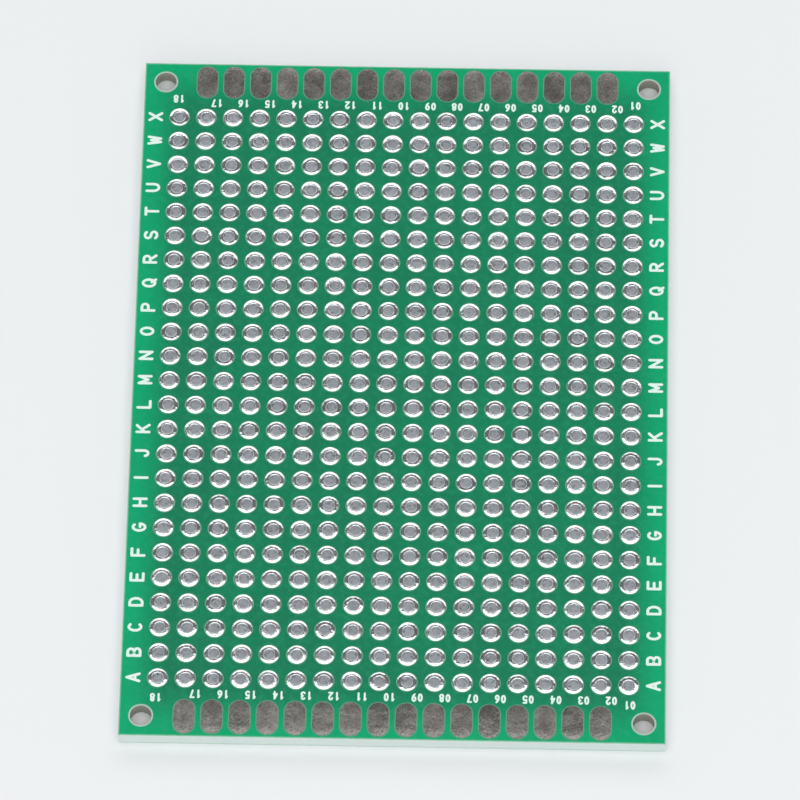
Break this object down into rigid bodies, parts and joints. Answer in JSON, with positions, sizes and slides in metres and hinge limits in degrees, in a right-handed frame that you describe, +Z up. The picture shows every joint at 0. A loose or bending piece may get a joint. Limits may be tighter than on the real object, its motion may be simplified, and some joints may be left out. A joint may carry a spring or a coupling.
{
  "type": "prototype board",
  "caption": "Flat rectangular double-sided circuit board with a grid of plated through holes, tinned pads along both ends and a screw hole in each corner.",
  "frame": {"origin": "middle of the underside, on the plane of the back pads' crowns, which the board lies on", "axes": "+X across the board towards column 1, +Y along the board from row A to row X, +Z up out of the front face"},
  "size_m": [0.05, 0.07, 0.0017],
  "materials": {
    "laminate": "pale glass-epoxy, fine layers at the cut edge",
    "solder_mask": "glossy green solder mask",
    "tin_plating": "bright hot-air-levelled tin, slightly uneven",
    "edge_tin": "satin tin, mottled grey",
    "legend_ink": "white printed ink"
  },
  "bodies": {
    "root": {"laminate": "laminate", "solder_mask_front": "solder_mask", "solder_mask_back": "solder_mask", "plated_row_a": "tin_plating", "plated_row_b": "tin_plating", "plated_row_c": "tin_plating", "plated_row_d": "tin_plating", "plated_row_e": "tin_plating", "plated_row_f": "tin_plating", "plated_row_g": "tin_plating", "plated_row_h": "tin_plating", "plated_row_i": "tin_plating", "plated_row_j": "tin_plating", "plated_row_k": "tin_plating", "plated_row_l": "tin_plating", "plated_row_m": "tin_plating", "plated_row_n": "tin_plating", "plated_row_o": "tin_plating", "plated_row_p": "tin_plating", "plated_row_q": "tin_plating", "plated_row_r": "tin_plating", "plated_row_s": "tin_plating", "plated_row_t": "tin_plating", "plated_row_u": "tin_plating", "plated_row_v": "tin_plating", "plated_row_w": "tin_plating", "plated_row_x": "tin_plating", "edge_pads_front_a": "edge_tin", "edge_pads_front_x": "edge_tin", "edge_pads_back_a": "edge_tin", "edge_pads_back_x": "edge_tin"}
  },
  "joints": []
}
